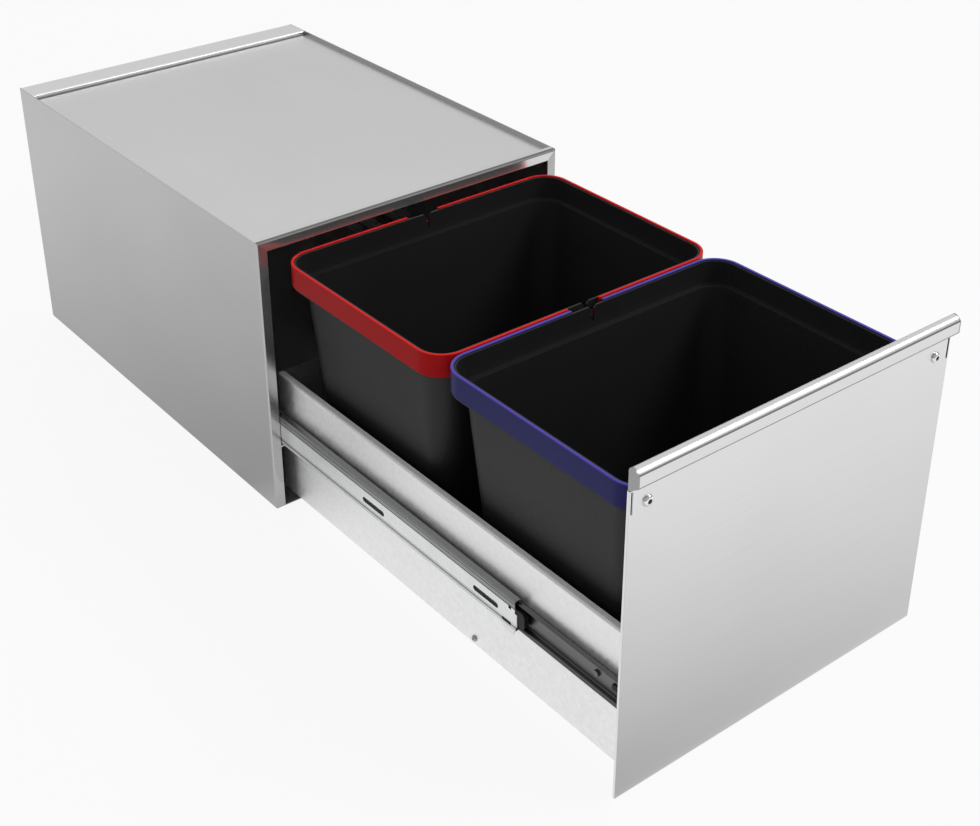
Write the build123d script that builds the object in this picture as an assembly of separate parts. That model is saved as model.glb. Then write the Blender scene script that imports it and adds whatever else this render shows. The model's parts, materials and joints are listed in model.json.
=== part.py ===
from build123d import *
import math
import os

os.makedirs("parts", exist_ok=True)

# Pull-out waste cabinet: a folded sheet housing, a drawer on ball-bearing telescopic slides
# and two lift-out bins with clamping rings. The drawer stands fully open.
# Frame: origin at the centre of the housing's base, +X right, +Y to the rear, +Z up.

# ---------------------------------------------------------------- driving dimensions (mm)
# housing
housing_width = 400.0
housing_depth = 568.7
housing_height = 327.1
housing_sheet = 1.0
fold_radius = 2.0  # outside radius of a folded edge
side_return = 12.0  # front edge turned in along each side
top_return = 11.1  # front edge of the top, turned down
front_strip = 11.3  # raised strip along the top's front
rear_strip = 36.7  # raised strip along the top's rear
rear_return = 15.0
top_recess = 5.1  # the top sheet lies this far below the rim
weld_flange = 12.0
weld_flange_setback = 20.0
seam = 0.2  # open gap along a mitred corner
back_setback = 1.0

# slides
slide_thickness = 12.7
rail_sheet = 1.2
outer_rail_height = 45.5
outer_rail_setback = 2.0
outer_rail_rear_gap = 16.7
middle_rail_shortfall = 30.0  # shorter than the outer rail by this
middle_rail_setback = 7.75  # behind the housing's front with the drawer closed
middle_rail_share = 0.75  # part of the drawer's travel
inner_rail_inset = 3.1  # behind the front panel
inner_rail_rear_gap = 18.5
rail_height = 98.6  # centre line of the slides
rail_bend = 2.0
raceway_wrap = 100.0  # degrees of the lip that curls round the balls
inner_wrap = 80.0
web_grooves = (9.0, 14.5)  # pressed lines along the middle rail's web, from its centre line
web_groove_width = 0.9
web_groove_depth = 0.5
tongue_length = 3.0  # the web's front end reaches this far past the flanges
tongue_high = 4.1
tongue_low = 10.4
tab_setback = 4.0
tab_length = 18.0
tab_drop = 3.0
ball_radius = 1.75
ball_clearance = 0.1
ball_row_offset = 5.4  # outer ball row, from the slide's back
inner_row_offset = 8.1
cage_sheet = 0.5
cage_gap = 0.3
outer_cage_end_gap = 4.0
inner_cage_length = 300.0
inner_cage_end_gap = 13.5
cage_edge = 1.05  # the inner cage's arms reach this far past the ball row
outer_row_balls = 2
inner_row_balls = 2
slot_length = 37.5
slot_width = 6.0
slot_drop = 2.6
slot_places = (247.9, 64.8)  # from the middle rail's front end to each slot's front end
square_hole = 4.0
square_hole_place = 10.2
square_hole_rise = 7.5
oblong_length = 13.0
oblong_width = 3.6
oblong_place = 15.0
oblong_drop = 11.4
rail_screw_inset = 45.0  # from each end of a rail
bracket_half_height = 26.0
bracket_foot = 12.0
stop_length = 17.0
stop_overhang = 9.5
stop_half_height = 9.0
stop_gap = 2.7
stop_chamfer = 3.0
bumper_length = 4.5
bumper_half_height = 8.0
lever_length = 13.0
lever_inset = 14.6
lever_half_height = 3.0
lever_thickness = 1.5
small_chamfer = 1.0

# drawer
drawer_shortfall = 1.1  # shorter than the housing's depth by this
drawer_side_gap = 0.5  # between the slides and the edge of the side returns
drawer_sheet = 1.2
drawer_top = 160.9
drawer_bottom = 14.0
drawer_flange = 7.4
drawer_fold = 3.0
floor_height = 15.0
floor_flange = 13.0
wall_flange = 15.0
wall_clearance = 0.3
side_screw_place = 224.1
side_screw_height = 20.8
panel_screw_inset = 60.0
panel_screw_heights = (50.0, 130.0)

# front panel and handle
panel_gap = 2.6  # to the housing with the drawer closed
panel_side_gap = 0.5
panel_bottom = 2.0
panel_thickness = 3.0
panel_skin = 1.0
panel_edge_radius = 0.8
panel_fit = 0.1
slot_edge = 1.6  # strip left outside each side slot
side_slot_width = 2.3
side_slot_height = 22.2
side_slot_top = 1.2
handle_side_gap = 1.0
handle_cap = 1.5
handle_wall = 1.6
handle_leg = 29.0
leg_inset = 9.0  # from the panel's side edges
handle_screw_inset = 20.5
handle_screw_drop = 16.1
# grip section: depths from its back and drops from its top
handle_rise = 23.6
handle_overhang = 8.4
handle_base_gap = 0.3
back_rounding = 6.5
crown_depth = 3.6
crown_shoulder = (1.0, 1.9)
brow_middle = (7.8, 1.4)
brow_end = (10.6, 4.3)
nose_drop = 5.4
nose_low = 17.2
chin_low = 17.6
chin_set = 1.0
neck = (4.6, 21.5)
neck_depth = 3.3
button_head_radius = 5.5
button_head_height = 2.8
button_shank_radius = 2.5
hex_socket = 4.0
hex_depth = 1.6

# small screws
pan_head_radius = 3.4
pan_head_height = 2.2
pan_shank_radius = 2.0
rivet_radius = 2.5
shank_sides = 8
hole_clearance = 0.1

# bins and rings
ring_side_gap = 20.0  # inside the housing's outer faces
ring_rear_gap = 25.6  # from the rear ring to the drawer's rear end
ring_height = 24.8
ring_drop = 17.6  # below the housing's rim
ring_sheet = 3.0
ring_corner = 30.0
ring_front_gap = 7.8
ring_gap = 2.2
ring_fit = 0.3
notch_width = 40.0
notch_depth = 12.0
notch_radius = 5.0
bin_wall = 2.0
collar_drop = 1.4
shoulder_inset = 1.5
body_inset = 11.2
bin_draft = 0.075  # the walls lean in by this much per millimetre of height
bin_corner = 27.0
bin_foot_bevel = 4.0
bin_seat = 0.3
slit_width = 4.0
slit_depth = 18.0
slit_offset = 4.5
slit_lip = 3.0  # rounding where the slit opens
slit_groove = 1.2

# ---------------------------------------------------------------- derived places
front = -housing_depth / 2
rear = housing_depth / 2
inner_half_width = housing_width / 2 - housing_sheet
outer_rail_length = housing_depth - outer_rail_setback - outer_rail_rear_gap
travel = outer_rail_length
middle_rail_length = outer_rail_length - middle_rail_shortfall
drawer_length = housing_depth - drawer_shortfall
inner_rail_length = drawer_length - inner_rail_inset - inner_rail_rear_gap
middle_face = rail_sheet + 2 * cage_gap + cage_sheet  # middle rail's outer face, from the slide's back
drawer_half_width = housing_width / 2 - side_return - drawer_side_gap - (slide_thickness - middle_face)
slide_back = drawer_half_width + slide_thickness
drawer_front = front - panel_gap - travel
drawer_rear = drawer_front + drawer_length
drawer_inner = drawer_half_width - drawer_sheet
floor_top = floor_height + drawer_sheet

# slide section: heights from the rail's centre line
race = ball_radius + ball_clearance
outer_flange = outer_rail_height / 2
outer_row_height = outer_flange - rail_sheet - race
middle_flange = outer_row_height - race
inner_row_height = middle_flange - rail_sheet - race
inner_flange = inner_row_height - race

middle_rail_front = front + middle_rail_setback - middle_rail_share * travel
inner_rail_front = drawer_front + inner_rail_inset
outer_cage_front = front + outer_rail_setback + outer_cage_end_gap
outer_cage_length = middle_rail_front + middle_rail_length - outer_cage_front - outer_cage_end_gap
inner_cage_front = middle_rail_front + inner_cage_end_gap

panel_half_width = housing_width / 2 - panel_side_gap
panel_top = housing_height
handle_half_width = housing_width / 2 - handle_side_gap
handle_screw_spread = housing_width / 2 - handle_screw_inset
panel_screw_spread = housing_width / 2 - panel_screw_inset

ring_half_width = housing_width / 2 - ring_side_gap
ring_half_depth = (drawer_length - ring_front_gap - ring_gap - ring_rear_gap) / 4
ring_top = housing_height - ring_drop
front_bin_centre = drawer_front + ring_front_gap + ring_half_depth
rear_bin_centre = front_bin_centre + 2 * ring_half_depth + ring_gap
ring_bottom = ring_top - ring_height


# ---------------------------------------------------------------- helpers
def block(x0, x1, y0, y1, z0, z1):
    return Pos((x0 + x1) / 2, (y0 + y1) / 2, (z0 + z1) / 2) * Box(x1 - x0, y1 - y0, z1 - z0)


def sheet_face(path, thickness, side):
    """A folded sheet's section: the line of its outer face, thickened to one side."""
    outline = Wire(path.edges()).offset_2d(thickness, side=side, closed=True)
    return make_face(outline.edges())


def along_x(face, half_length):
    """A section drawn in Y and Z, run across the cabinet."""
    return extrude(Plane.YZ.offset(-half_length) * face, 2 * half_length)


def along_y(face, y0, length):
    """A section drawn in X and Z, run from y0 to the rear."""
    return extrude(Plane.XZ.offset(-y0 - length) * face, length)


def rounded_low(width, height, radius):
    """A rectangle standing on its base line with its two lower corners rounded."""
    face = Rectangle(width, height, align=(Align.CENTER, Align.MIN))
    return fillet(face.vertices().group_by(Axis.Y)[0], radius)


def facing(x, y, z, direction):
    """Places a part made along +Z at a point, pointing along a direction."""
    return Plane(origin=(x, y, z), z_dir=direction).location


def both_sides(part):
    return [part, mirror(part, about=Plane.YZ)]


def group(solids):
    return Compound([s.solid() for s in solids])


def save(node, shape):
    shape.label = node
    export_step(shape, f"parts/{node}.step")


# ---------------------------------------------------------------- fasteners
def shank(radius, length):
    """Plain shank from the origin's plane down, with flats that match its hole's."""
    return extrude(RegularPolygon(radius, shank_sides), -length)


def rivet(clearance=0.0):
    """Rivet set flush with the outer rail's web and closed behind the bracket."""
    return shank(rivet_radius + clearance, 2 * rail_sheet)


def pan_screw(length, clearance=0.0):
    """Pan head screw, its head on the origin's plane."""
    head = extrude(RegularPolygon(pan_head_radius, shank_sides), pan_head_height)
    return head + shank(pan_shank_radius + clearance, length)


def button_screw(length):
    """Button head screw with a hexagon socket."""
    head = Pos(0, 0, button_head_height / 2) * Cylinder(button_head_radius, button_head_height)
    head = chamfer(head.edges().group_by(Axis.Z)[-1], button_head_height * 0.6)
    socket = RegularPolygon(hex_socket / math.sqrt(3), 6)
    head -= Pos(0, 0, button_head_height - hex_depth) * extrude(socket, hex_depth + 1)
    return head + shank(button_shank_radius, length)


# ---------------------------------------------------------------- housing
def mitre_wedge(edge, lift, y0, y1):
    """The room above the mitre between a left side return and the top return, out to edge."""
    inner_x = side_return - housing_width / 2
    low = housing_height - top_return + lift
    high = housing_height + top_return
    corner = [(inner_x, low), (edge, low + inner_x - edge), (edge, high), (inner_x, high)]
    return along_y(make_face(Polyline(*corner, close=True)), y0, y1 - y0)


def folded_block(half_width, y0, y1, z0, z1, radius):
    """A block with its upright front edges and its long lower edges rounded."""
    body = block(-half_width, half_width, y0, y1, z0, z1)
    upright = body.edges().filter_by(Axis.Z).group_by(Axis.Y)[0]
    lower = body.edges().filter_by(Axis.Y).group_by(Axis.Z)[0]
    return fillet(upright + lower, radius)


def housing_shell():
    """Floor and both sides folded from one sheet, with the front edges turned in."""
    t = housing_sheet
    shell = folded_block(housing_width / 2, front, rear, 0, housing_height, fold_radius)
    shell -= folded_block(inner_half_width, front + t, rear + t, t, housing_height + t, fold_radius - t)
    mouth = housing_width / 2 - side_return
    shell -= block(-mouth, mouth, front - t, front + 2 * t, t, housing_height + t)
    notch = mitre_wedge(-inner_half_width, -seam, front - t, front + fold_radius)
    high = housing_height + t
    notch += block(-inner_half_width, 0, front + t, front + fold_radius, high - t - fold_radius, high)
    for part in both_sides(notch):
        shell -= part
    return shell


def housing_top():
    """Recessed top sheet between two raised strips, with returns to the front and rear."""
    rim = housing_height
    recess = rim - top_recess
    step = rear - rear_strip
    path = FilletPolyline(
        (front, rim - top_return),
        (front, rim),
        (front + front_strip, rim),
        (front + front_strip, recess),
        (step, recess),
        (step, rim),
        (rear, rim),
        (rear, rim - rear_return),
        radius=fold_radius,
    )
    top = along_x(sheet_face(path, housing_sheet, Side.RIGHT), inner_half_width)
    under = recess - housing_sheet
    flange = block(
        -inner_half_width,
        -inner_half_width + housing_sheet,
        front + weld_flange_setback,
        step - weld_flange_setback,
        under - weld_flange,
        under,
    )
    for part in both_sides(flange):
        top += part
    y1 = front + housing_sheet + seam
    low = housing_height - top_return - 1
    corner = block(-housing_width / 2, side_return - housing_width / 2, front - 1, y1, low, rim + 1)
    corner -= mitre_wedge(-housing_width / 2, 0, front - 2, y1)
    for part in both_sides(corner):
        top -= part
    return top


def housing_back():
    """Back sheet, a shallow pan with its flanges turned to the front."""
    width = 2 * inner_half_width
    height = housing_height - housing_sheet - fold_radius - seam
    outside = rear - back_setback
    depth = weld_flange
    pan = Pos(0, 0, housing_sheet) * along_y(rounded_low(width, height, fold_radius), outside - depth, depth)
    room_height = height + 1
    room = Pos(0, 0, 2 * housing_sheet) * along_y(
        rounded_low(width - 2 * housing_sheet, room_height, fold_radius - housing_sheet / 2),
        outside - depth - 1,
        depth + 1 - housing_sheet,
    )
    return pan - room


# ---------------------------------------------------------------- slides
def rail_section(web, flange, row, row_height, bend, wrap, side):
    """C section of a rail: a web, two flanges and lips curled round the ball rows."""
    spine = Polyline((row, -flange), (web, -flange), (web, flange), (row, flange))
    if bend:
        spine = FilletPolyline(*spine.vertices(), radius=bend)
    start = 90 if flange > row_height else 270
    upper = CenterArc((row, row_height), abs(flange - row_height), start, -wrap)
    lower = mirror(upper, about=Plane.XZ)
    return sheet_face(spine + upper + lower, rail_sheet, side)


def cage_section(web, arm, arm_height):
    """C section of a ball cage, with its two arms between the rails' flanges."""
    corners = [(arm, -arm_height), (web, -arm_height), (web, arm_height), (arm, arm_height)]
    return sheet_face(Polyline(*corners), cage_sheet, Side.RIGHT)


def on_left_slide(section, y0, length):
    """Runs a slide section along the left slide, from y0 to the rear."""
    return along_y(Pos(-slide_back, rail_height) * section, y0, length)


def rail_fixings(y0, length, offset, direction):
    """Places of the fixings along a rail; offset is from the slide's back."""
    for place in (rail_screw_inset, length / 2, length - rail_screw_inset):
        yield facing(-slide_back + offset, y0 + place, rail_height, direction)


def outer_rail_fixings():
    return rail_fixings(front + outer_rail_setback, outer_rail_length, rail_sheet, (1, 0, 0))


def inner_rail_fixings():
    depth = slide_thickness - rail_sheet
    return rail_fixings(inner_rail_front, inner_rail_length, depth, (-1, 0, 0))


def inner_rail_screw(clearance=0.0):
    return pan_screw(rail_sheet + drawer_sheet, clearance)


def rail_bracket():
    """Hat section that carries the outer rail clear of the front return."""
    reach = inner_half_width - slide_back - rail_sheet
    high = bracket_half_height
    foot = high + bracket_foot
    corners = [(0, -foot), (0, -high), (reach, -high), (reach, high), (0, high), (0, foot)]
    face = sheet_face(Polyline(*corners), rail_sheet, Side.RIGHT)
    face = Pos(-inner_half_width, rail_height) * face
    bracket = along_y(face, front + outer_rail_setback, outer_rail_length)
    for place in outer_rail_fixings():
        bracket -= place * rivet(hole_clearance)
    return bracket


def outer_rail():
    section = rail_section(0, outer_flange, ball_row_offset, outer_row_height, 0, raceway_wrap, Side.RIGHT)
    rail = on_left_slide(section, front + outer_rail_setback, outer_rail_length)
    for place in outer_rail_fixings():
        rail -= place * rivet(hole_clearance)
    return rail


def middle_web_cuts(thickness):
    """Openings in the middle rail's web, as solids through a web of this thickness."""
    slot = SlotOverall(slot_length, slot_width)
    places = [(place - slot_length / 2, -slot_drop, slot) for place in slot_places]
    places.append((square_hole_place, square_hole_rise, Rectangle(square_hole, square_hole)))
    places.append((oblong_place, -oblong_drop, Rectangle(oblong_length, oblong_width)))
    plane = Plane.YZ.offset(-slide_back + middle_face - thickness)
    for y, z, face in places:
        yield extrude(plane * Pos(middle_rail_front + y, rail_height + z) * face, 3 * thickness)


def middle_rail():
    """Middle rail with two pressed lines above and below its web's centre and a tongued front end."""
    section = rail_section(
        middle_face, middle_flange, inner_row_offset, inner_row_height, rail_bend, raceway_wrap, Side.RIGHT
    )
    rail = on_left_slide(section, middle_rail_front, middle_rail_length)
    x0 = -slide_back + middle_face
    x1 = -slide_back + slide_thickness
    y0 = middle_rail_front
    y1 = y0 + tongue_length
    top = rail_height + outer_flange
    bottom = rail_height - outer_flange
    rail -= block(x0 - rail_sheet, x1, y0 - 1, y1, rail_height + tongue_high, top)
    rail -= block(x0 - rail_sheet, x1, y0 - 1, y1, bottom, rail_height - tongue_low)
    tab = y0 + tab_setback
    low = rail_height - middle_flange - tab_drop
    rail += block(x0, x0 + rail_sheet, tab, tab + tab_length, low, low + tab_drop + rail_bend)
    for cut in middle_web_cuts(rail_sheet):
        rail -= cut
    groove = Rectangle(2 * web_groove_depth, web_groove_width)
    for height in web_grooves:
        for z in (-height, height):
            rail -= on_left_slide(Pos(middle_face, z) * groove, y0, middle_rail_length)
    return rail


def inner_rail():
    section = rail_section(
        slide_thickness, inner_flange, inner_row_offset, inner_row_height, rail_bend, inner_wrap, Side.LEFT
    )
    rail = on_left_slide(section, inner_rail_front, inner_rail_length)
    for place in inner_rail_fixings():
        rail -= place * inner_rail_screw(hole_clearance)
    return rail


def ball_places(y0, length, count, row, height):
    """Ball centres in one cage: an upper and a lower row, evenly spaced."""
    pitch = length / count
    for sign in (-1, 1):
        for i in range(count):
            yield (-slide_back + row, y0 + pitch * (i + 0.5), rail_height + sign * height)


def cage(web, arm, arm_height, y0, length, count, row, row_height):
    part = on_left_slide(cage_section(web, arm, arm_height), y0, length)
    outline = RegularPolygon(ball_radius + ball_clearance, shank_sides, major_radius=False)
    pocket = extrude(outline, 2 * race, both=True)
    for place in ball_places(y0, length, count, row, row_height):
        part -= Pos(*place) * pocket
    return part


def outer_cage():
    web = rail_sheet + cage_gap
    arm = ball_row_offset + race - cage_gap
    arm_height = outer_row_height + cage_sheet / 2
    span = (outer_cage_front, outer_cage_length, outer_row_balls)
    return cage(web, arm, arm_height, *span, ball_row_offset, outer_row_height)


def inner_cage():
    web = middle_face + rail_sheet + cage_gap
    arm = inner_row_offset + cage_edge
    arm_height = inner_row_height + cage_edge
    span = (inner_cage_front, inner_cage_length, inner_row_balls)
    return cage(web, arm, arm_height, *span, inner_row_offset, inner_row_height)


def ball():
    """Bearing ball with 26 faces, its corners on the true ball."""
    eighth = math.tan(math.radians(22.5))
    half = ball_radius / math.sqrt(1 + 2 * eighth**2)
    return chamfer(Box(2 * half, 2 * half, 2 * half).edges(), half * (1 - eighth))


def balls(y0, length, count, row, height):
    return [Pos(*place) * ball() for place in ball_places(y0, length, count, row, height)]


def outer_balls():
    return balls(outer_cage_front, outer_cage_length, outer_row_balls, ball_row_offset, outer_row_height)


def inner_balls():
    return balls(inner_cage_front, inner_cage_length, inner_row_balls, inner_row_offset, inner_row_height)


def rail_stop():
    """Moulded stop in the middle rail's mouth, reaching into the inner rail's channel."""
    x0 = -slide_back + middle_face + rail_sheet
    x1 = -slide_back + slide_thickness - rail_sheet - stop_gap
    y0 = middle_rail_front - stop_overhang
    half = stop_half_height
    stop = block(x0, x1, y0, y0 + stop_length, rail_height - half, rail_height + half)
    return chamfer(stop.edges().filter_by(Axis.X).group_by(Axis.Y)[0], stop_chamfer)


def rail_bumper():
    """Rubber buffer at the rear end of the outer rail."""
    x0 = -slide_back + rail_sheet
    x1 = -slide_back + slide_thickness - 2 * rail_sheet
    y1 = front + outer_rail_setback + outer_rail_length
    half = bumper_half_height
    buffer = block(x0, x1, y1 - bumper_length, y1, rail_height - half, rail_height + half)
    return chamfer(buffer.edges().filter_by(Axis.X), small_chamfer)


def release_lever():
    """Flat lever in the inner rail's mouth, for taking the drawer off its slides."""
    x1 = -slide_back + slide_thickness - rail_sheet
    y0 = drawer_front + lever_inset
    half = lever_half_height
    lever = block(x1 - lever_thickness, x1, y0, y0 + lever_length, rail_height - half, rail_height + half)
    return chamfer(lever.edges().filter_by(Axis.X), small_chamfer)


# ---------------------------------------------------------------- drawer
def drawer_side():
    """Side sheet with its top edge folded inwards."""
    x = -drawer_half_width
    top = (x + drawer_flange, drawer_top)
    path = FilletPolyline((x, drawer_bottom), (x, drawer_top), top, radius=drawer_fold)
    side = along_y(sheet_face(path, drawer_sheet, Side.RIGHT), drawer_front, drawer_length)
    for place in inner_rail_fixings():
        side -= place * inner_rail_screw(hole_clearance)
    return side - left_side_screw(hole_clearance)


def left_side_screw(clearance=0.0):
    """Screw that holds the side to the floor's flange."""
    place = facing(-drawer_half_width, drawer_front + side_screw_place, side_screw_height, (-1, 0, 0))
    return place * pan_screw(3 * drawer_sheet, clearance)


def drawer_floor():
    """Floor sheet, folded up along both sides and screwed to them."""
    x = drawer_inner
    high = floor_height + floor_flange
    path = FilletPolyline((-x, high), (-x, floor_height), (x, floor_height), (x, high), radius=drawer_fold)
    floor = along_y(sheet_face(path, drawer_sheet, Side.LEFT), drawer_front, drawer_length)
    for screw in both_sides(left_side_screw(hole_clearance)):
        floor -= screw
    return floor


def drawer_wall(outside, inward):
    """End wall of the drawer with its two edges folded along the sides."""
    x = drawer_inner
    edge = outside + inward * wall_flange
    path = FilletPolyline((-x, edge), (-x, outside), (x, outside), (x, edge), radius=drawer_fold)
    side = Side.LEFT if inward > 0 else Side.RIGHT
    wall = Pos(0, 0, floor_top) * extrude(sheet_face(path, drawer_sheet, side), drawer_top - floor_top)
    low = floor_height + floor_flange + wall_clearance
    high = drawer_top - drawer_fold - wall_clearance
    narrow = x - drawer_fold - wall_clearance
    between_flanges = drawer_half_width - drawer_flange - wall_clearance
    for sign in (-1, 1):
        ends = sorted((sign * narrow, sign * (x + 1)))
        wall -= block(*ends, outside - 30, outside + 30, 0, low)
        ends = sorted((sign * between_flanges, sign * (x + 1)))
        wall -= block(*ends, outside - 30, outside + 30, high, drawer_top + 1)
    return wall


def panel_screw_places():
    for x in (-panel_screw_spread, panel_screw_spread):
        for z in panel_screw_heights:
            yield facing(x, drawer_front + drawer_sheet, z, (0, 1, 0))


def panel_screws(clearance=0.0):
    """Screws from inside the drawer, through its front wall into the panel's backing."""
    length = drawer_sheet + panel_thickness - panel_skin - panel_fit
    return [place * pan_screw(length, clearance) for place in panel_screw_places()]


# ---------------------------------------------------------------- front panel and handle
def handle_screw_places():
    z = panel_top - handle_screw_drop
    for x in (-handle_screw_spread, handle_screw_spread):
        yield facing(x, drawer_front - panel_thickness, z, (0, -1, 0))


def front_panel():
    """Stainless skin with its side and bottom edges turned back."""
    half = panel_half_width
    y0 = drawer_front - panel_thickness
    panel = block(-half, half, y0, drawer_front, panel_bottom, panel_top)
    front_edges = panel.edges().group_by(Axis.Y)[0]
    panel = fillet(front_edges.sort_by(Axis.Z)[:-1], panel_edge_radius)
    inner = half - panel_skin
    panel -= block(-inner, inner, y0 + panel_skin, drawer_front + 1, panel_bottom + panel_skin, panel_top + 1)
    slot_outer = half - slot_edge
    slot_high = panel_top - side_slot_top
    slot_low = slot_high - side_slot_height
    slot_inner = slot_outer - side_slot_width
    slot = block(slot_inner, slot_outer, y0 - 1, drawer_front - panel_skin, slot_low, slot_high)
    for part in both_sides(slot):
        panel -= part
    for place in handle_screw_places():
        panel -= place * shank(button_shank_radius + hole_clearance, panel_thickness)
    return panel


def panel_backing():
    """Stiffening plate inside the skin; the drawer's front wall is screwed to it."""
    half = panel_half_width - panel_skin - panel_fit
    y0 = drawer_front - panel_thickness + panel_skin
    top = panel_top - handle_leg - panel_fit
    plate = block(-half, half, y0, drawer_front, panel_bottom + panel_skin + panel_fit, top)
    for screw in panel_screws(hole_clearance):
        plate -= screw
    return plate


def handle_outline():
    """Section of the grip in Y and Z: flat back, domed top and an overhanging front lip."""
    back = drawer_front
    nose = back - panel_thickness - handle_overhang
    top = panel_top + handle_rise
    low = panel_top + handle_base_gap

    def point(place):
        depth, drop = place
        return (back - depth, top - drop)

    crown_start = (back, top - back_rounding)
    crown_end = (back - crown_depth, top)
    rear_line = Polyline((back, low), crown_start)
    crown = ThreePointArc(crown_start, point(crown_shoulder), crown_end)
    brow = ThreePointArc(crown_end, point(brow_middle), point(brow_end))
    lip = Polyline(
        point(brow_end),
        (nose, top - nose_drop),
        (nose, top - nose_low),
        (nose + chin_set, top - chin_low),
        point(neck),
        (back - neck_depth, low),
        (back, low),
    )
    return make_face(Wire(rear_line.edges() + crown.edges() + brow.edges() + lip.edges()))


def handle():
    """Extruded grip, hollow inside, with a leg that slides in behind the skin."""
    outline = handle_outline()
    chamber = offset(outline, amount=-handle_wall)
    length = handle_half_width - handle_cap
    grip = along_x(outline - chamber, length)
    leg_end = panel_half_width - leg_inset
    y0 = drawer_front - panel_thickness + panel_skin
    leg = block(-leg_end, leg_end, y0, drawer_front, panel_top - handle_leg, panel_top + 1)
    for place in handle_screw_places():
        leg -= place * shank(button_shank_radius + hole_clearance, 2 * panel_thickness)
    return grip + leg


def handle_end():
    """Flat cap that closes the grip's end."""
    cap = along_x(handle_outline(), handle_cap / 2)
    return Pos(handle_cap / 2 - handle_half_width, 0, 0) * cap


# ---------------------------------------------------------------- bins and rings
def level(half_width, half_depth, radius, z):
    return Pos(0, 0, z) * RectangleRounded(2 * half_width, 2 * half_depth, radius)


def corners(half_width, half_depth, z):
    return [(x * half_width, y * half_depth, z) for x, y in ((-1, -1), (1, -1), (1, 1), (-1, 1))]


def leaning_block(half_width, half_depth, z_low, z_high):
    """Block whose four walls lean in by the bin's draft towards its foot."""
    lean = bin_draft * (z_high - z_low)
    low = corners(half_width - lean, half_depth - lean, z_low)
    high = corners(half_width, half_depth, z_high)
    outlines = [low, high]
    for i in range(4):
        outlines.append([low[i - 1], low[i], high[i], high[i - 1]])
    return Solid(Shell([make_face(Polyline(*outline, close=True)).face() for outline in outlines]))


def tapered(inset, z_low, z_high):
    """Bin body between two heights, its walls leaning in and its corners of one radius."""
    lean = bin_draft * (ring_bottom - z_high)
    wide = ring_half_width - body_inset - inset - lean
    deep = ring_half_depth - body_inset - inset - lean
    radius = bin_corner - inset
    body = leaning_block(wide - radius, deep, z_low, z_high)
    body += leaning_block(wide, deep - radius, z_low, z_high)
    length = (z_high - z_low) * math.sqrt(1 + 2 * bin_draft**2)
    for x in (-1, 1):
        for y in (-1, 1):
            disc = Pos(x * (wide - radius), y * (deep - radius), z_high) * Circle(radius)
            body += extrude(disc, length, dir=(-x * bin_draft, -y * bin_draft, -1))
    return body


def slits():
    """Slits in the middle of both long walls of the collar, flared where they open."""
    half = slit_width / 2
    low = ring_top - notch_depth
    high = ring_top - collar_drop
    wide = half + slit_lip
    right = [(half, low), (half, high - slit_lip), (wide, high), (wide, ring_top)]
    left = [(-x, z) for x, z in reversed(right)]
    face = make_face(Polyline(*right, *left, close=True))
    cut = extrude(Plane.XZ * Pos(slit_offset, 0) * face, 2 * ring_half_depth, both=True)
    reach = ring_half_depth - ring_sheet - ring_fit - bin_wall + slit_groove
    base = ring_top - slit_depth
    return cut + block(slit_offset - half, slit_offset + half, -reach, reach, base, low + half)


def bin_body():
    """Moulded bin: tapered body, shoulder and upright collar."""
    foot = floor_top + bin_seat
    collar_wide = ring_half_width - ring_sheet - ring_fit
    collar_deep = ring_half_depth - ring_sheet - ring_fit
    collar_corner = ring_corner - ring_sheet - ring_fit
    collar_top = ring_top - collar_drop
    shoulder_top = ring_bottom - ring_fit
    shoulder_low = shoulder_top - bin_wall
    shoulder_wide = ring_half_width - shoulder_inset
    shoulder_deep = ring_half_depth - shoulder_inset
    body = tapered(0, foot + bin_foot_bevel, shoulder_top)
    body += extrude(body.faces().sort_by(Axis.Z)[0], bin_foot_bevel, dir=(0, 0, -1), taper=45)
    shoulder = level(shoulder_wide, shoulder_deep, ring_corner - shoulder_inset, shoulder_low)
    body += extrude(shoulder, bin_wall)
    body += extrude(level(collar_wide, collar_deep, collar_corner, shoulder_low), collar_top - shoulder_low)
    body -= tapered(bin_wall, foot + bin_foot_bevel, ring_bottom)
    mouth = level(collar_wide - bin_wall, collar_deep - bin_wall, collar_corner - bin_wall, shoulder_top)
    body -= extrude(mouth, ring_height)
    return body - slits()


def bin_ring():
    """Clamping ring round the collar, notched in the middle of both long sides."""
    inner_corner = ring_corner - ring_sheet
    band = extrude(level(ring_half_width, ring_half_depth, ring_corner, ring_bottom), ring_height)
    hole = level(ring_half_width - ring_sheet, ring_half_depth - ring_sheet, inner_corner, ring_bottom - 1)
    band -= extrude(hole, ring_height + 2)
    low = ring_top - notch_depth
    notch = Rectangle(notch_width, 2 * notch_depth, align=(Align.CENTER, Align.MIN))
    notch = fillet(notch.vertices().group_by(Axis.Y)[0], notch_radius)
    band -= extrude(Plane.XZ * Pos(0, low) * notch, 2 * ring_half_depth, both=True)
    return band


# ---------------------------------------------------------------- write the nodes
save("housing_shell", housing_shell())
save("housing_top", housing_top())
save("housing_back", housing_back())

rail_nodes = {
    "rail_bracket": rail_bracket,
    "outer_rail": outer_rail,
    "middle_rail": middle_rail,
    "inner_rail": inner_rail,
    "outer_cage": outer_cage,
    "inner_cage": inner_cage,
    "rail_stop": rail_stop,
    "rail_bumper": rail_bumper,
    "release_lever": release_lever,
    "drawer_side": drawer_side,
    "handle_end": handle_end,
}
for node, make in rail_nodes.items():
    for side, part in zip(("left", "right"), both_sides(make())):
        save(f"{side}_{node}", part)

for node, make in {"outer_balls": outer_balls, "inner_balls": inner_balls}.items():
    left = make()
    save(f"left_{node}", group(left))
    save(f"right_{node}", group([mirror(ball, about=Plane.YZ) for ball in left]))

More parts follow.
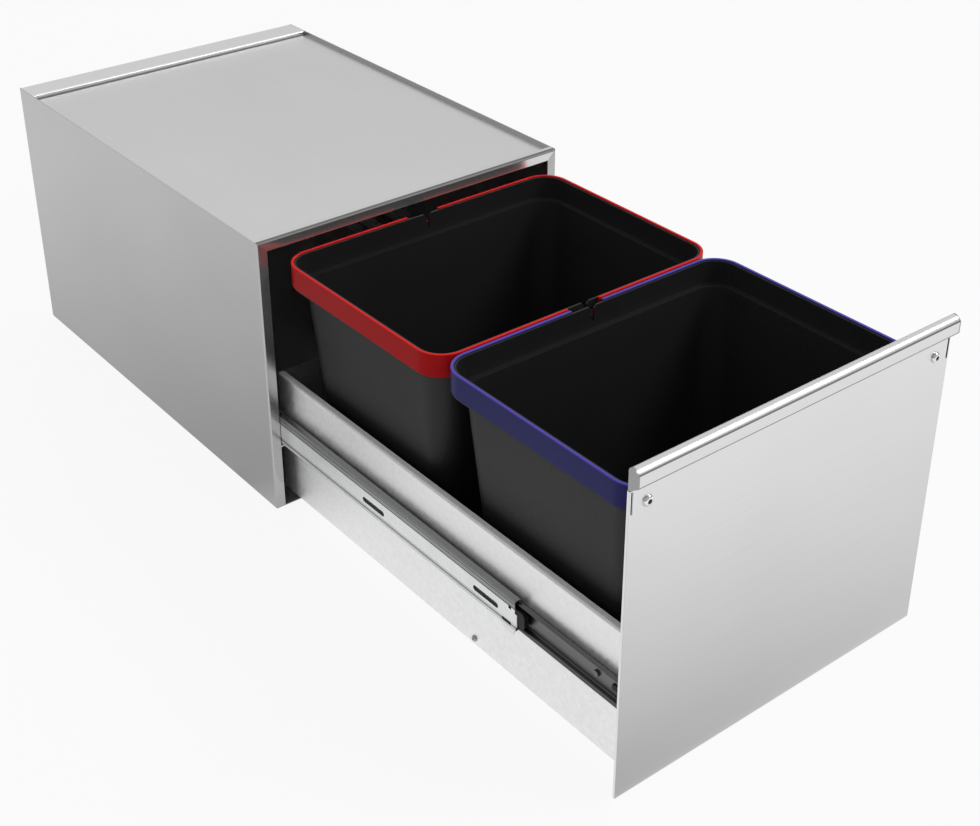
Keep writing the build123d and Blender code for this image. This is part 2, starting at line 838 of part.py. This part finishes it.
rivets = [place * rivet() for place in outer_rail_fixings()]
screws = [place * inner_rail_screw() for place in inner_rail_fixings()]
save("bracket_rivets", group([part for piece in rivets for part in both_sides(piece)]))
save("slide_screws", group([part for piece in screws for part in both_sides(piece)]))
save("side_screws", group(both_sides(left_side_screw())))

save("drawer_floor", drawer_floor())
front_wall = drawer_wall(drawer_front, 1)
for screw in panel_screws(hole_clearance):
    front_wall -= screw
save("drawer_front_wall", front_wall)
save("drawer_rear_wall", drawer_wall(drawer_rear, -1))

save("front_panel", front_panel())
save("panel_backing", panel_backing())
save("panel_screws", group(panel_screws()))
save("handle", handle())
save("handle_screws", group([place * button_screw(panel_thickness) for place in handle_screw_places()]))

bin_solid = bin_body()
ring_solid = bin_ring()
for name, centre in (("front", front_bin_centre), ("rear", rear_bin_centre)):
    save(f"{name}_bin", Pos(0, centre, 0) * bin_solid)
    save(f"{name}_ring", Pos(0, centre, 0) * ring_solid)
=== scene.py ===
import json
import math

import bmesh
import bpy
from mathutils import Matrix, Vector


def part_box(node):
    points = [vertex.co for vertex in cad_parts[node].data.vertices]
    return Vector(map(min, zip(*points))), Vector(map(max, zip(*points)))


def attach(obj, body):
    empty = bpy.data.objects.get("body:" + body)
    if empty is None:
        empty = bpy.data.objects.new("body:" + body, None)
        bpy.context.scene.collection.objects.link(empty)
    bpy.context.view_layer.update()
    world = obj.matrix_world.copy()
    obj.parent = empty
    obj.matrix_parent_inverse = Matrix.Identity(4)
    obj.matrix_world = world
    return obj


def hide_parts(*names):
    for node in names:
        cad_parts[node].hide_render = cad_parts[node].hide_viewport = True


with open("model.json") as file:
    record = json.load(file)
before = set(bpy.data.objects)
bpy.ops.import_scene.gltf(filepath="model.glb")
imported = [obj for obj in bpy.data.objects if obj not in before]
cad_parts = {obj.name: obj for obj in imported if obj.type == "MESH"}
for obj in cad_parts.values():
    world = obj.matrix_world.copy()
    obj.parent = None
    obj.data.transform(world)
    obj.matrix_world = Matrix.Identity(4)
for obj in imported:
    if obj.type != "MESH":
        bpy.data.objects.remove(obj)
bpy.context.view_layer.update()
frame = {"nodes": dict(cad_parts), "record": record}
nodes = frame["nodes"]
scene = bpy.context.scene

# Frame in metres: origin at the centre of the housing's base, +Y to the rear, +Z up.
SIDES = ("left", "right")
ALONG_X, ALONG_Y = 0, 1
MM = 0.001
SAME_PLACE = 1e-6  # vertices closer than this are one
shell_low, shell_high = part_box("housing_shell")
FRONT, SIDE, TOP = shell_low.y, shell_high.x, shell_high.z
REAR_STRIP = 0.0367  # from the step in the housing's top to its back
STEP = shell_high.y - REAR_STRIP
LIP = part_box("left_handle_end")[0].z
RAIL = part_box("left_middle_rail")[0].z
RING_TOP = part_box("front_ring")[1].z
BALL_RADIUS = 0.00175
SOFT_BLUR, SHARP_BLUR = 0.0006, 0.0003  # how far a shaded band's edges fade
# Inputs and output of a Mix node that hold colours.
FIRST_COLOUR, SECOND_COLOUR, MIXED_COLOUR = 6, 7, 2


# ---------------------------------------------------------------- kinds of material
class Shader:
    """A material whose nodes are added in order, each one linked as it is made."""

    def __init__(self, name):
        self.material = bpy.data.materials.new(name)
        self.material.use_nodes = True
        self.tree = self.material.node_tree
        self.surface = self.tree.nodes["Principled BSDF"]
        self.place = self.add("ShaderNodeTexCoord").outputs["Object"]

    def add(self, kind, inputs=None, **settings):
        node = self.tree.nodes.new(kind)
        for key, value in settings.items():
            setattr(node, key, value)
        for key, value in (inputs or {}).items():
            self.put(node.inputs[key], value)
        return node

    def put(self, socket, value):
        """Links the socket to another one, or sets its value."""
        if isinstance(value, bpy.types.NodeSocket):
            self.tree.links.new(value, socket)
        else:
            socket.default_value = value

    def set(self, **values):
        """Sets or links inputs of the surface; an underscore stands for a space."""
        for key, value in values.items():
            self.put(self.surface.inputs[key.replace("_", " ")], value)

    def stretched(self, scale):
        return self.add("ShaderNodeMapping", {"Vector": self.place, "Scale": scale}).outputs["Vector"]

    def noise(self, scale, detail=2.0, roughness=0.5, place=None):
        inputs = {"Vector": place or self.place, "Scale": scale, "Detail": detail, "Roughness": roughness}
        return self.add("ShaderNodeTexNoise", inputs).outputs["Fac"]

    def spread(self, value, low, high, out_low, out_high):
        """Maps low to high onto out_low to out_high, and holds the ends beyond them."""
        inputs = {"Value": value, "From Min": low, "From Max": high, "To Min": out_low, "To Max": out_high}
        return self.add("ShaderNodeMapRange", inputs).outputs["Result"]

    def math(self, operation, a, b=0.0):
        return self.add("ShaderNodeMath", {0: a, 1: b}, operation=operation).outputs["Value"]

    def tint(self, factor, dark, light, blend="MIX"):
        """Mixes two colours, each a list of three numbers or a socket."""
        node = self.add("ShaderNodeMix", data_type="RGBA", blend_type=blend)
        self.put(node.inputs["Factor"], factor)
        for socket, colour in ((FIRST_COLOUR, dark), (SECOND_COLOUR, light)):
            linked = isinstance(colour, bpy.types.NodeSocket)
            self.put(node.inputs[socket], colour if linked else (*colour, 1))
        return node.outputs[MIXED_COLOUR]

    def shaded(self, colour, mask, share):
        """The colour, times share where the mask is 1."""
        return self.tint(mask, colour, [share] * 3, "MULTIPLY")

    def bump(self, height, strength, distance=0.0002):
        inputs = {"Height": height, "Strength": strength, "Distance": distance}
        node = self.add("ShaderNodeBump", inputs)
        self.put(self.surface.inputs["Normal"], node.outputs["Normal"])

    def axis(self, name):
        split = self.add("ShaderNodeSeparateXYZ", {"Vector": self.place})
        return split.outputs[name]

    def between(self, axis, low, high, blur=SOFT_BLUR):
        """1 where the place along an axis lies from low to high, else 0."""
        place = self.axis(axis)
        rise = self.spread(place, low - blur, low, 0, 1)
        fall = self.spread(place, high, high + blur, 1, 0)
        return self.math("MULTIPLY", rise, fall)


ACROSS_GRAIN, ALONG_GRAIN = 700.0, 6.0  # scales of the brushing
SHEET_METALLIC, FLANGE_METALLIC = 0.86, 0.1
FLANGE_FADE, RIM_HIGHLIGHT_FADE = (0.002, 0.0005), (0.0013, 0.0004)  # metres below a flange's top, and below a ring's top where its painted highlight fades in


def brushed(name, grain, tone, roughness, finish_and_painted_light=None):
    """Brushed stainless steel, its grain along one axis; the last argument may change its roughness and
    metal by place and paint shade and highlights on it.
    """
    steel = Shader(name)
    scale = [ACROSS_GRAIN] * 3
    scale[grain] = ALONG_GRAIN
    streaks = steel.noise(1.0, 4.0, 0.6, steel.stretched(scale))
    cloud = steel.noise(5.0, 2.0)
    mixed = steel.math("ADD", steel.math("MULTIPLY", streaks, 0.6), steel.math("MULTIPLY", cloud, 0.4))
    colour = steel.tint(steel.spread(mixed, 0.3, 0.7, 0, 1), [tone - 0.03] * 3, [tone + 0.03] * 3)
    rough = steel.spread(streaks, 0.3, 0.7, roughness - 0.04, roughness + 0.04)
    metallic = 1.0
    if finish_and_painted_light:
        colour, rough, metallic = finish_and_painted_light(steel, colour, rough)
    steel.set(Metallic=metallic, Base_Color=colour, Roughness=rough)
    steel.bump(streaks, 0.08)
    return steel


def galvanised(name, tone, flange=None):
    """Zinc coated sheet with a fine crystal pattern; a flange's height gives it a less metallic top."""
    sheet = Shader(name)
    cells = sheet.add("ShaderNodeTexVoronoi", {"Vector": sheet.place, "Scale": 210.0, "Randomness": 1.0})
    cell = sheet.add("ShaderNodeSeparateColor", {"Color": cells.outputs["Color"]}).outputs["Red"]
    fine = sheet.noise(420.0, 3.0, 0.7)
    mixed = sheet.math("ADD", sheet.math("MULTIPLY", cell, 0.5), sheet.math("MULTIPLY", fine, 0.5))
    metallic = SHEET_METALLIC
    if flange:
        low, high = (flange - below for below in FLANGE_FADE)
        metallic = sheet.spread(sheet.axis("Z"), low, high, SHEET_METALLIC, FLANGE_METALLIC)
    sheet.set(
        Metallic=metallic,
        Base_Color=sheet.tint(mixed, [tone - 0.12, tone - 0.115, tone - 0.11], [tone + 0.05] * 3),
        Roughness=sheet.spread(mixed, 0.2, 0.8, 0.32, 0.42),
    )
    sheet.bump(fine, 0.12)
    return sheet


def plated(name, tone, roughness, metallic=0.95, painted_shade_bands=()):
    """Plated or phosphated steel with rolling marks along the rail, and bands of painted shade at some
    heights.
    """
    steel = Shader(name)
    streaks = steel.noise(1.0, 3.0, 0.6, steel.stretched([900.0, 14.0, 900.0]))
    stain = steel.noise(60.0, 3.0)
    colour = steel.tint(stain, [tone * 0.88, tone * 0.9, tone * 0.91], [tone * 1.07] * 3)
    for low, high, share in painted_shade_bands:
        colour = steel.shaded(colour, steel.between("Z", low, high, SHARP_BLUR), share)
    steel.set(
        Metallic=metallic,
        Base_Color=colour,
        Roughness=steel.spread(streaks, 0.3, 0.7, roughness - 0.05, roughness + 0.05),
    )
    steel.bump(streaks, 0.06)
    return steel


def plastic(name, dark, light, roughness, grain, depth, specular=0.5, edge=None):
    """Moulded plastic with an eroded texture; edge is the colour of a painted highlight along a clamping
    ring's upper edge.
    """
    resin = Shader(name)
    stipple = resin.noise(grain, 3.0, 0.65)
    cloud = resin.noise(9.0, 2.0)
    colour = resin.tint(resin.math("MULTIPLY", resin.math("ADD", stipple, cloud), 0.5), dark, light)
    if edge:
        low, high = (RING_TOP - below for below in RIM_HIGHLIGHT_FADE)
        painted_rim_highlight = resin.spread(resin.axis("Z"), low, high, 0.0, 1.0)
        colour = resin.tint(painted_rim_highlight, colour, edge)
    resin.set(
        Base_Color=colour,
        Roughness=resin.spread(stipple, 0.3, 0.7, roughness - 0.07, roughness + 0.07),
        Specular_IOR_Level=specular,
    )
    resin.bump(stipple, depth, 0.0004)
    return resin


# ---------------------------------------------------------------- finishes, painted shade and painted highlights that differ by place
# Metres behind the housing's front, below its top, inside its sides or beyond the step in its top.
BEND_FADE = (0.0008, 0.003)
BEND_METAL_FADE = 0.003
# Depth and height of the front fold's band of painted shade.
FOLD_DEPTH, FOLD_HEIGHT = 0.0045, 0.0018
SKIN_FADE = (0.0009, 0.0004)
RETURN_FADE = 0.0015
# The rear step's bands: painted shadow before it, a painted highlight behind it.
STEP_SHADOW = (-0.0040, -0.0002)
STEP_GLINT = (0.0004, 0.0040)
# Metres above the lower edges of the grip and of the middle rail, bounding bands of painted shade.
LIP_SHADOW_TOP = 0.0072
NOSE_SHADE_BAND = (0.0179, 0.0190)
UPPER_CURL = 0.0294
LOWER_CURL = (0.0082, 0.0105)
BEYOND = 1.0  # past every piece
# Shares of the colour or the roughness that are left, and values that take their place; the colour shares
# are painted shade and the tones painted light.
BEND_ROUGHNESS_SHARE = 0.65
INNER_METALLIC, BEND_METALLIC = 0.8, 0.85
BAND_SHARE, BAND_ROUGHNESS = 0.3, 0.5
STRIP_TONE, GLINT_TONE = 0.91, 1.0
LIP_SHADOW_SHARE, NOSE_SHADE_SHARE = 0.45, 0.4
UPPER_CURL_SHARE, LOWER_CURL_SHARE = 0.35, 0.3


def bent(steel, rough):
    """The roughness, lower along the folded front edge."""
    start, end = BEND_FADE
    share = steel.spread(steel.axis("Y"), FRONT + start, FRONT + end, BEND_ROUGHNESS_SHARE, 1.0)
    return steel.math("MULTIPLY", rough, share)


def shell_finish(steel, colour, rough):
    """A smoother front edge; it and the inside are less metallic than the outer sides."""
    inner, outer = SKIN_FADE
    across = steel.math("ABSOLUTE", steel.axis("X"))
    outside = steel.spread(across, SIDE - inner, SIDE - outer, 0.0, 1.0)
    behind = steel.spread(steel.axis("Y"), FRONT, FRONT + RETURN_FADE, 0.0, 1.0)
    metallic = steel.spread(steel.math("MULTIPLY", outside, behind), 0, 1, INNER_METALLIC, 1.0)
    return colour, bent(steel, rough), metallic


def top_finish_and_painted_light(steel, colour, rough):
    """Painted shade along the front fold and before the rear step, where the steel is also rougher; a
    painted highlight behind the step and a rear strip painted paler.
    """
    upper = steel.between("Z", TOP - FOLD_HEIGHT, BEYOND)
    fold = steel.math("MULTIPLY", steel.between("Y", -BEYOND, FRONT + FOLD_DEPTH), upper)
    shadow, glint = (steel.between("Y", STEP + low, STEP + high) for low, high in (STEP_SHADOW, STEP_GLINT))
    band = steel.math("MAXIMUM", fold, shadow)
    strip = steel.tint(steel.between("Y", STEP, BEYOND), colour, [STRIP_TONE] * 3)
    colour = steel.tint(glint, steel.shaded(strip, band, BAND_SHARE), [GLINT_TONE] * 3)
    rough = steel.math("MAXIMUM", bent(steel, rough), steel.math("MULTIPLY", band, BAND_ROUGHNESS))
    metallic = steel.spread(steel.axis("Y"), FRONT, FRONT + BEND_METAL_FADE, BEND_METALLIC, 1.0)
    return colour, rough, metallic


def grip_painted_shade(steel, colour, rough):
    """Painted shadow along the lip's lower edge next to the panel, and painted shade under the rounded top.
    """
    low, high = (LIP + above for above in NOSE_SHADE_BAND)
    colour = steel.shaded(colour, steel.between("Z", 0, LIP + LIP_SHADOW_TOP, SHARP_BLUR), LIP_SHADOW_SHARE)
    colour = steel.shaded(colour, steel.between("Z", low, high, SHARP_BLUR), NOSE_SHADE_SHARE)
    return colour, rough, 1.0


# ---------------------------------------------------------------- materials
# The same brushed stainless in three tones, as painted shade and painted light: the housing's sides darker,
# its top and the panel paler.
housing_steel = brushed("brushed_housing", ALONG_Y, tone=0.53, roughness=0.34, finish_and_painted_light=shell_finish)
top_steel = brushed("brushed_top", ALONG_Y, tone=0.80, roughness=0.34, finish_and_painted_light=top_finish_and_painted_light)
panel_steel = brushed("brushed_panel", ALONG_X, tone=0.81, roughness=0.32)
handle_metal = brushed("satin_aluminium", ALONG_X, tone=0.78, roughness=0.28, finish_and_painted_light=grip_painted_shade)
cap_metal = plated("grip_cap", tone=0.40, roughness=0.4)
zinc_sheet = galvanised("galvanised_sheet", tone=0.95)
side_sheet = galvanised("drawer_side_sheet", tone=0.95, flange=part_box("left_drawer_side")[1].z)
rail_zinc = plated(
    "plated_rail",
    tone=0.84,
    roughness=0.26,
    metallic=0.8,
    # Painted shade over the middle rail's upper curl and along its lower curl.
    painted_shade_bands=[
        (RAIL + UPPER_CURL, BEYOND, UPPER_CURL_SHARE),
        (RAIL + LOWER_CURL[0], RAIL + LOWER_CURL[1], LOWER_CURL_SHARE),
    ],
)
dark_steel = plated("phosphated_steel", tone=0.17, roughness=0.36)
cage_steel = plated("cage_steel", tone=0.04, roughness=0.4)
bright = plated("bright_steel", tone=0.86, roughness=0.12)
dull = plated("dull_steel", tone=0.42, roughness=0.25)
bin_black = plastic(
    "black_plastic",
    dark=[0.011] * 3,
    light=[0.025, 0.025, 0.0255],
    roughness=0.5,
    grain=650.0,
    depth=0.35,
    specular=0.3,
)
small_black = plastic(
    "black_fittings",
    dark=[0.008] * 3,
    light=[0.018] * 3,
    roughness=0.42,
    grain=900.0,
    depth=0.15,
    specular=0.2,
)
ring_red = plastic(
    "red_plastic",
    dark=[0.47, 0.005, 0.007],
    light=[0.57, 0.008, 0.010],
    roughness=0.36,
    grain=320.0,
    depth=0.05,
    specular=0.08,
    # painted highlight along the ring's upper edge
    edge=[0.80, 0.02, 0.02],
)
ring_blue = plastic(
    "blue_plastic",
    dark=[0.018, 0.018, 0.13],
    light=[0.026, 0.025, 0.18],
    roughness=0.36,
    grain=320.0,
    depth=0.05,
    specular=0.12,
    # painted highlight along the ring's upper edge
    edge=[0.10, 0.08, 0.50],
)
rubber = plastic("black_rubber", dark=[0.015] * 3, light=[0.03] * 3, roughness=0.75, grain=500.0, depth=0.2)

by_slot = {
    "brushed_stainless": housing_steel,
    "galvanised": zinc_sheet,
    "slide_steel": rail_zinc,
    "dark_steel": dark_steel,
    "bright_steel": bright,
    "aluminium": handle_metal,
    "black_plastic": bin_black,
    "red_plastic": ring_red,
    "blue_plastic": ring_blue,
    "rubber": rubber,
}
slot_of = {part["node"]: part["material_slot"] for part in frame["record"]["subparts"]}
body_of = {node: body for body, held in frame["record"]["behaviour"]["bodies"].items() for node in held}


def dress(obj, shader):
    """Gives a piece this material alone."""
    obj.data.materials.clear()
    obj.data.materials.append(shader.material)


for name, node in nodes.items():
    dress(node, by_slot[slot_of[name]])
dress(nodes["housing_top"], top_steel)
dress(nodes["front_panel"], panel_steel)
dress(nodes["slide_screws"], dark_steel)
for side in SIDES:
    for name in ("outer_cage", "inner_cage"):
        dress(nodes[f"{side}_{name}"], cage_steel)
    for name in ("rail_stop", "release_lever"):
        dress(nodes[f"{side}_{name}"], small_black)
    dress(nodes[f"{side}_handle_end"], cap_metal)
    dress(nodes[f"{side}_drawer_side"], side_sheet)


# ---------------------------------------------------------------- softened edges
def soften(name, width, segments=2, angle=38.0):
    """Small rounding on a carried-over node's edges that are sharper than the angle in degrees."""
    node = nodes[name]
    weld = node.modifiers.new("weld", "WELD")
    weld.merge_threshold = SAME_PLACE
    bevel = node.modifiers.new("bevel", "BEVEL")
    bevel.width = width
    bevel.segments = segments
    bevel.limit_method = "ANGLE"
    bevel.angle_limit = math.radians(angle)
    bevel.use_clamp_overlap = True
    normals = node.modifiers.new("normals", "WEIGHTED_NORMAL")
    normals.keep_sharp = False
    for polygon in node.data.polygons:
        polygon.use_smooth = True


for name in ("front_ring", "rear_ring"):
    soften(name, 0.0006, segments=3)
soften("handle", 0.0004, segments=3, angle=25.0)
for side in SIDES:
    soften(f"{side}_handle_end", 0.0004, angle=50.0)
    soften(f"{side}_rail_stop", 0.0006)
    soften(f"{side}_release_lever", 0.0002)


# ---------------------------------------------------------------- replaced fasteners and balls
SMOOTH_UP_TO = math.radians(40)
RING_POINTS = 48
DOME_STEPS = 7
FOOT_SHARE = 0.95  # of the head's radius, at its foot
RIM_SHARE = 0.1  # of the head's height, below its dome
NECK = 0.02  # millimetres between a shank's last ring and the head


def solids(name):
    """The separate solids of a node, as lists of its vertices' places."""
    mesh = bmesh.new()
    mesh.from_mesh(nodes[name].data)
    bmesh.ops.remove_doubles(mesh, verts=mesh.verts, dist=SAME_PLACE)
    left = set(mesh.verts)
    found = []
    while left:
        stack = [left.pop()]
        cluster = []
        while stack:
            vert = stack.pop()
            cluster.append(vert.co.copy())
            for edge in vert.link_edges:
                other = edge.other_vert(vert)
                if other in left:
                    left.remove(other)
                    stack.append(other)
        found.append(cluster)
    mesh.free()
    return sorted(found, key=lambda cluster: tuple(round(v, 5) for v in middle(cluster)))


def middle(cluster):
    """The centre of the box round some places."""
    low = Vector(min(co[i] for co in cluster) for i in range(3))
    high = Vector(max(co[i] for co in cluster) for i in range(3))
    return (low + high) / 2


def stand_in(name, mesh, *shaders):
    """Adds a piece that stands for a CAD node and rides on its body."""
    for face in mesh.faces:
        face.smooth = True
    data = bpy.data.meshes.new(f"{name}_look")
    mesh.to_mesh(data)
    mesh.free()
    data.set_sharp_from_angle(angle=SMOOTH_UP_TO)
    piece = bpy.data.objects.new(f"{name}_look", data)
    scene.collection.objects.link(piece)
    for shader in shaders:
        data.materials.append(shader.material)
    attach(piece, body_of[name])
    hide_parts(name)


def true_balls(name, radius):
    """Replaces a node of balls by true spheres in the same places."""
    mesh = bmesh.new()
    for cluster in solids(name):
        ball = bmesh.ops.create_icosphere(mesh, subdivisions=3, radius=radius)
        bmesh.ops.translate(mesh, verts=ball["verts"], vec=middle(cluster))
    stand_in(name, mesh, bright)


def loft(mesh, place, rings):
    """Joins rings of points, given in millimetres from the shank's end to the recess's floor.

    Both ends are closed, and the floor takes the piece's second material, which paints shade in the recess.
    """
    made = [[mesh.verts.new(place @ (Vector(point) * MM)) for point in ring] for ring in rings]
    for low, high in zip(made, made[1:]):
        for i in range(len(low)):
            mesh.faces.new((low[i - 1], low[i], high[i], high[i - 1]))
    mesh.faces.new(list(reversed(made[0])))
    mesh.faces.new(made[-1]).material_index = 1


def traced(height, reach):
    """A closed ring of points; reach gives each one's distance from the axis for its angle."""
    angles = [2 * math.pi * (i + 0.5) / RING_POINTS for i in range(RING_POINTS)]
    return [(reach(a) * math.cos(a), reach(a) * math.sin(a), height) for a in angles]


def circle(radius, height):
    return traced(height, lambda angle: radius)


def hexagon(flats, height):
    """Ring along a hexagon; flats is half its width over flats."""
    return traced(height, lambda angle: flats / math.cos(angle % (math.pi / 3) - math.pi / 6))


def cross(arm, half_width, height):
    """Ring along a cross recess."""

    def reach(angle):
        along, across = abs(math.cos(angle)), abs(math.sin(angle))
        return max(min(half_width / along, arm / across), min(arm / along, half_width / across))

    return traced(height, reach)


def domed_head(radius, height, flat):
    """Rings of a domed head from its foot up to the flat round its recess."""
    rings = [circle(radius * FOOT_SHARE, 0.0), circle(radius, height * RIM_SHARE)]
    for i in range(1, DOME_STEPS + 1):
        turn = i / DOME_STEPS * math.pi / 2
        rise = RIM_SHARE + (1 - RIM_SHARE) * math.sin(turn)
        rings.append(circle(flat + (radius - flat) * math.cos(turn), height * rise))
    return rings


def headed_screws(name, shader, outward, radius, height, flat, shank, length, recess):
    """Replaces a node of screws by domed ones, sized in millimetres.

    outward gives the way a head faces from its place, and recess holds the recess's rings.
    """
    rings = [circle(shank, -length), circle(shank, -NECK)] + domed_head(radius, height, flat) + recess
    mesh = bmesh.new()
    for cluster in solids(name):
        centre = middle(cluster)
        axis = outward(centre)
        outer = max(co.dot(axis) for co in cluster)
        foot = centre + axis * (outer - height * MM - centre.dot(axis))
        place = Matrix.Translation(foot) @ axis.to_track_quat("Z", "Y").to_matrix().to_4x4()
        loft(mesh, place, rings)
    bmesh.ops.recalc_face_normals(mesh, faces=mesh.faces)
    # The recess floors take black_fittings, as painted shade in the recesses.
    stand_in(name, mesh, shader, small_black)


for side in SIDES:
    true_balls(f"{side}_outer_balls", BALL_RADIUS)
    true_balls(f"{side}_inner_balls", BALL_RADIUS)

headed_screws(
    "handle_screws",
    bright,
    outward=lambda centre: Vector((0, -1, 0)),
    radius=5.5,
    height=2.8,
    flat=3.0,
    shank=2.5,
    length=3.0,
    recess=[hexagon(2.2, 2.8), hexagon(2.1, 2.3)],
)
headed_screws(
    "side_screws",
    dull,
    outward=lambda centre: Vector((math.copysign(1, centre.x), 0, 0)),
    radius=3.4,
    height=2.2,
    flat=1.7,
    shank=1.9,
    length=2.0,
    recess=[cross(1.6, 0.5, 2.2), cross(1.4, 0.4, 1.8)],
)

# ---------------------------------------------------------------- floor
FLOOR_REACH = 9
FLOOR_HEIGHT = -0.0004  # just clear of the housing's underside
# How the metal mirrors the floor: a painted shadow makes its glow dimmer before the panel and beside the
# housing. Places are in metres, from no dimming to full dimming or back, and each dimming is given at the
# start and at the end.
PANEL_FADE, PANEL_END = (-1.22, -0.87), (-0.845, -0.835)
PANEL_WIDTH, PANEL_DIMMING = (-0.2, 0.3), (0.52, 0.28)
HOUSING_FADE, HOUSING_START = (-0.95, -0.2), (-0.36, -0.22)
HOUSING_DEPTH, HOUSING_DIMMING = (-0.1, 0.75), (0.42, 0.02)
# How much of the floor's light is its own, to the camera and to the metal; the rest is lit by the scene.
CAMERA_GLOW, MIRROR_GLOW = 0.9, 0.88


def white_floor():
    ground = Shader("white_floor")
    ground.set(Base_Color=(0.86, 0.86, 0.86, 1), Roughness=0.25)
    x, y = ground.axis("X"), ground.axis("Y")
    # Painted shadows in the glow that the metal mirrors: before the panel and beside the housing.
    near_panel, under_panel = ground.spread(y, *PANEL_FADE, 0, 1), ground.spread(y, *PANEL_END, 1, 0)
    near_housing, along = ground.spread(x, *HOUSING_FADE, 0, 1), ground.spread(y, *HOUSING_START, 0, 1)
    before_panel = ground.math("MULTIPLY", near_panel, under_panel)
    before_panel = ground.math("MULTIPLY", before_panel, ground.spread(x, *PANEL_WIDTH, *PANEL_DIMMING))
    beside = ground.math("MULTIPLY", near_housing, along)
    beside = ground.math("MULTIPLY", beside, ground.spread(y, *HOUSING_DEPTH, *HOUSING_DIMMING))
    pale = ground.math("SUBTRACT", 1.0, ground.math("MAXIMUM", before_panel, beside))
    ray = ground.add("ShaderNodeLightPath")
    seen, mirrored = ray.outputs["Is Camera Ray"], ray.outputs["Is Glossy Ray"]
    emission = {"Color": (1, 1, 1, 1), "Strength": ground.math("MAXIMUM", seen, pale)}
    glow = ground.add("ShaderNodeEmission", emission).outputs["Emission"]
    seen_share = ground.math("MULTIPLY", seen, CAMERA_GLOW)
    share = ground.math("ADD", seen_share, ground.math("MULTIPLY", mirrored, MIRROR_GLOW))
    mixed = ground.add("ShaderNodeMixShader", {0: share, 1: ground.surface.outputs["BSDF"], 2: glow})
    ground.put(ground.tree.nodes["Material Output"].inputs["Surface"], mixed.outputs["Shader"])
    return ground


floor_mesh = bpy.data.meshes.new("floor")
corners = [(x * FLOOR_REACH, y * FLOOR_REACH, FLOOR_HEIGHT) for x, y in ((-1, -1), (1, -1), (1, 1), (-1, 1))]
floor_mesh.from_pydata(corners, [], [(0, 1, 2, 3)])
floor = bpy.data.objects.new("floor", floor_mesh)
scene.collection.objects.link(floor)
floor_mesh.materials.append(white_floor().material)

# ---------------------------------------------------------------- sky and light
SKY_RISE = (0.2, 0.92)  # strength at the horizon and high up
SKY_HIGH = 0.45  # height of a direction where the strength is full
SKY_TURN = (0.5, 0.84)  # share at the front left and at the rear right
SKY_ACROSS = (0.62, 0.78, 0.0)  # towards the rear right
SKY_REACH = 0.9  # how far along it the share changes, either way


def studio():
    """White to the camera; for the object, a sky that is dim low down and at the front left."""
    world = bpy.data.worlds.new("studio")
    scene.world = world
    world.use_nodes = True
    tree = world.node_tree
    tree.nodes.clear()

    def node(kind, inputs=None, **settings):
        made = tree.nodes.new(kind)
        for key, value in settings.items():
            setattr(made, key, value)
        for key, value in (inputs or {}).items():
            if isinstance(value, bpy.types.NodeSocket):
                tree.links.new(value, made.inputs[key])
            else:
                made.inputs[key].default_value = value
        return made

    def ramp(value, low, high, out_low, out_high):
        inputs = {"Value": value, "From Min": low, "From Max": high, "To Min": out_low, "To Max": out_high}
        return node("ShaderNodeMapRange", inputs, interpolation_type="SMOOTHSTEP").outputs["Result"]

    way = node("ShaderNodeTexCoord").outputs["Generated"]
    rise = ramp(node("ShaderNodeSeparateXYZ", {"Vector": way}).outputs["Z"], 0.0, SKY_HIGH, *SKY_RISE)
    across = node("ShaderNodeVectorMath", {0: way, 1: SKY_ACROSS}, operation="DOT_PRODUCT")
    turn = ramp(across.outputs["Value"], -SKY_REACH, SKY_REACH, *SKY_TURN)
    strength = node("ShaderNodeMath", {0: rise, 1: turn}, operation="MULTIPLY").outputs["Value"]
    lit = node("ShaderNodeBackground", {"Color": (1, 1, 1, 1), "Strength": strength}).outputs[0]
    white = node("ShaderNodeBackground", {"Color": (1, 1, 1, 1), "Strength": 1.0}).outputs[0]
    ray = node("ShaderNodeLightPath").outputs["Is Camera Ray"]
    mixed = node("ShaderNodeMixShader", {0: ray, 1: lit, 2: white}).outputs[0]
    node("ShaderNodeOutputWorld", {"Surface": mixed})


def softbox(name, place, target, size, power):
    lamp = bpy.data.lights.new(name, "AREA")
    lamp.shape = "RECTANGLE"
    lamp.size, lamp.size_y = size
    lamp.energy = power
    obj = bpy.data.objects.new(name, lamp)
    obj.location = place
    obj.rotation_euler = (Vector(target) - Vector(place)).to_track_quat("-Z", "Y").to_euler()
    scene.collection.objects.link(obj)


studio()
softbox("key", place=(1.7, -2.3, 2.4), target=(0, -0.6, 0.2), size=(1.5, 0.5), power=26)

# ---------------------------------------------------------------- camera, solved from the photo's edges
TURN, DIP = math.radians(38.495), math.radians(28.425)  # to the right of +Y and below the horizon

camera = bpy.data.cameras.new("camera")
camera.lens = 59.28
camera.sensor_width = 36.0
camera.shift_x = -0.0005
camera.shift_y = -0.1103
camera.clip_start = 0.05
eye = bpy.data.objects.new("camera", camera)
eye.location = (-0.9282, -1.58195, 1.0529)
eye.rotation_euler = (math.pi / 2 - DIP, 0, -TURN)
scene.collection.objects.link(eye)
scene.camera = eye
scene.view_settings.view_transform = "Standard"
